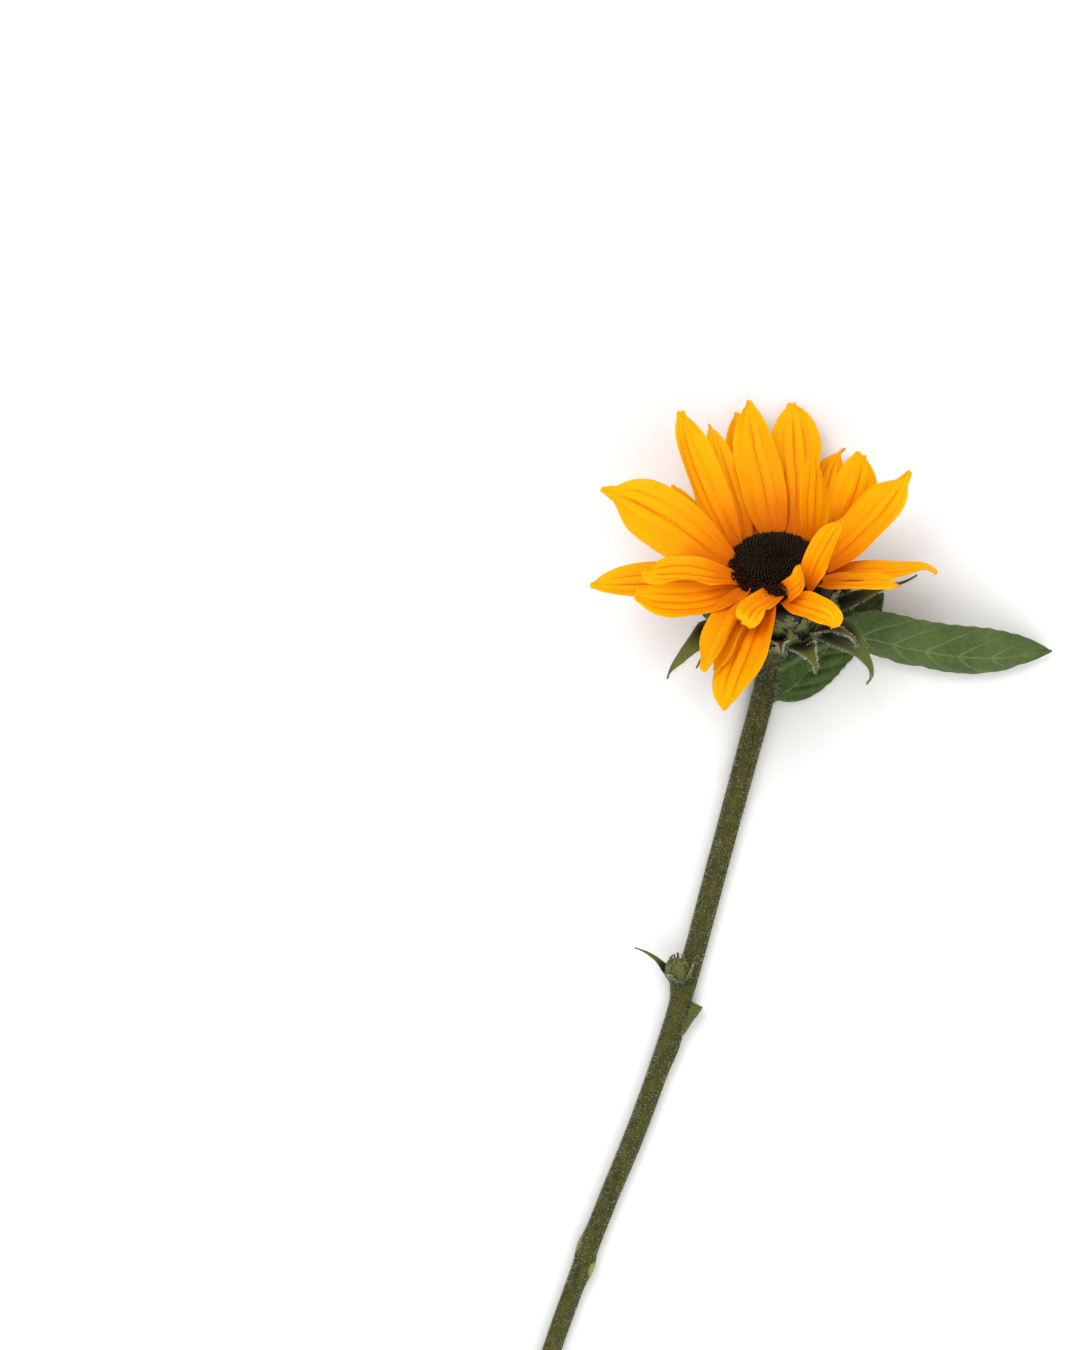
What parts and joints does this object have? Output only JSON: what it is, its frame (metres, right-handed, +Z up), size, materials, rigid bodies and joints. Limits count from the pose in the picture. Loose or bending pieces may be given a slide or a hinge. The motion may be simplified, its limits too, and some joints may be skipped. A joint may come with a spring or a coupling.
{
  "type": "cut sunflower",
  "caption": "Cut sunflower lying down: yellow ray petals round a dark floret disc, green bracts, a long bowed hairy stem with a slanting cut, leaves and a small side bud",
  "frame": {"origin": "middle of the flower's bounding box, on the surface it lies on", "axes": "+Y along the stem towards the head, +X to the right of the stem seen from above, +Z up"},
  "size_m": [0.1642, 0.4084, 0.0662],
  "materials": {
    "petal": "soft, faintly ridged",
    "floret": "dense dark florets",
    "bract": "matt with fine white hairs",
    "stem": "fresh green, finely hairy",
    "leaf": "matt, veined, finely hairy"
  },
  "bodies": {
    "root": {"bud_bract_01": "bract", "bud_bract_02": "bract", "bud_bract_03": "bract", "disc_florets": "floret", "inner_bract_01": "bract", "inner_bract_02": "bract", "inner_bract_03": "bract", "inner_bract_04": "bract", "inner_bract_05": "bract", "inner_bract_06": "bract", "inner_bract_07": "bract", "inner_bract_08": "bract", "inner_bract_09": "bract", "leaf_behind_head": "leaf", "leaf_behind_stem": "leaf", "leaf_right": "leaf", "leaf_stub": "stem", "outer_bract_01": "bract", "outer_bract_02": "bract", "outer_bract_03": "bract", "outer_bract_04": "bract", "outer_bract_05": "bract", "outer_bract_06": "bract", "outer_bract_07": "bract", "outer_bract_08": "bract", "outer_bract_09": "bract", "ray_petal_01": "petal", "ray_petal_02": "petal", "ray_petal_03": "petal", "ray_petal_04": "petal", "ray_petal_05": "petal", "ray_petal_06": "petal", "ray_petal_07": "petal", "ray_petal_08": "petal", "ray_petal_09": "petal", "ray_petal_10": "petal", "ray_petal_11": "petal", "ray_petal_12": "petal", "ray_petal_13": "petal", "ray_petal_14": "petal", "ray_petal_15": "petal", "ray_petal_16": "petal", "ray_petal_17": "petal", "ray_petal_18": "petal", "ray_petal_19": "petal", "ray_petal_20": "petal", "ray_petal_21": "petal", "ray_petal_22": "petal", "ray_petal_23": "petal", "receptacle": "bract", "side_bud": "bract", "stem": "stem"}
  },
  "joints": []
}
